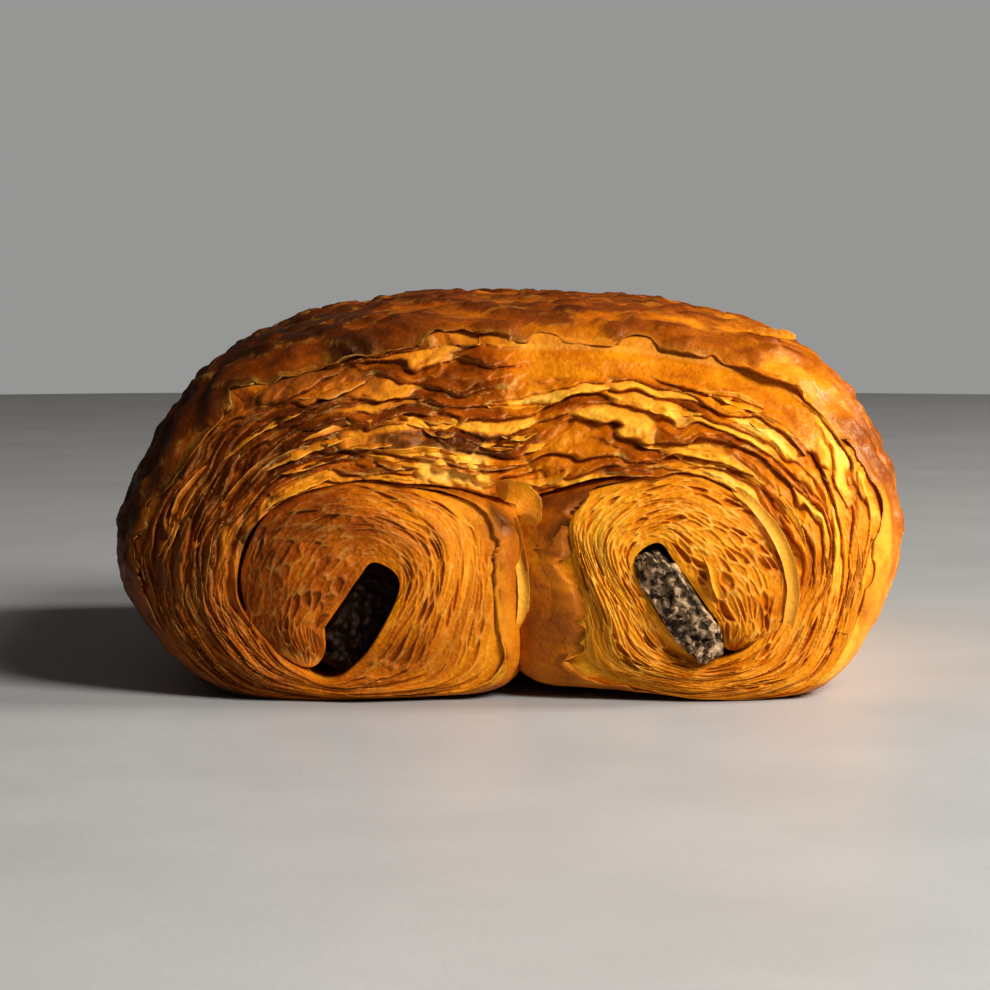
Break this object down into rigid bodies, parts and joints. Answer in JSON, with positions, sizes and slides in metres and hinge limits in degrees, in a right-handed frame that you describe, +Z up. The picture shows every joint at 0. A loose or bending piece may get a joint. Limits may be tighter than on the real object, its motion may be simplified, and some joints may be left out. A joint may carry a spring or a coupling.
{
  "type": "pain au chocolat pastry",
  "caption": "Laminated pastry rolled from both ends round sticks of dark chocolate, baked golden brown with a glazed, flaky crust and open layered ends. Stands free on its flat underside.",
  "frame": {"origin": "middle of the pastry's outline on the flat underside it was baked on", "axes": "+Z up from the underside to the crown, +Y along the chocolate sticks from the front cut end to the back one, +X across the two rolls from the left-hand one to the right-hand one as the front cut end is faced"},
  "size_m": [0.0822, 0.0912, 0.04],
  "materials": {
    "crust": "baked laminated dough: glazed red-brown skin with blisters, and matte golden layers at the cut ends",
    "chocolate": "dark baking chocolate, matte, with a faint grey bloom"
  },
  "bodies": {
    "root": {"rolled_dough": "crust", "chocolate_stick_right": "chocolate", "chocolate_stick_left": "chocolate"}
  },
  "joints": []
}
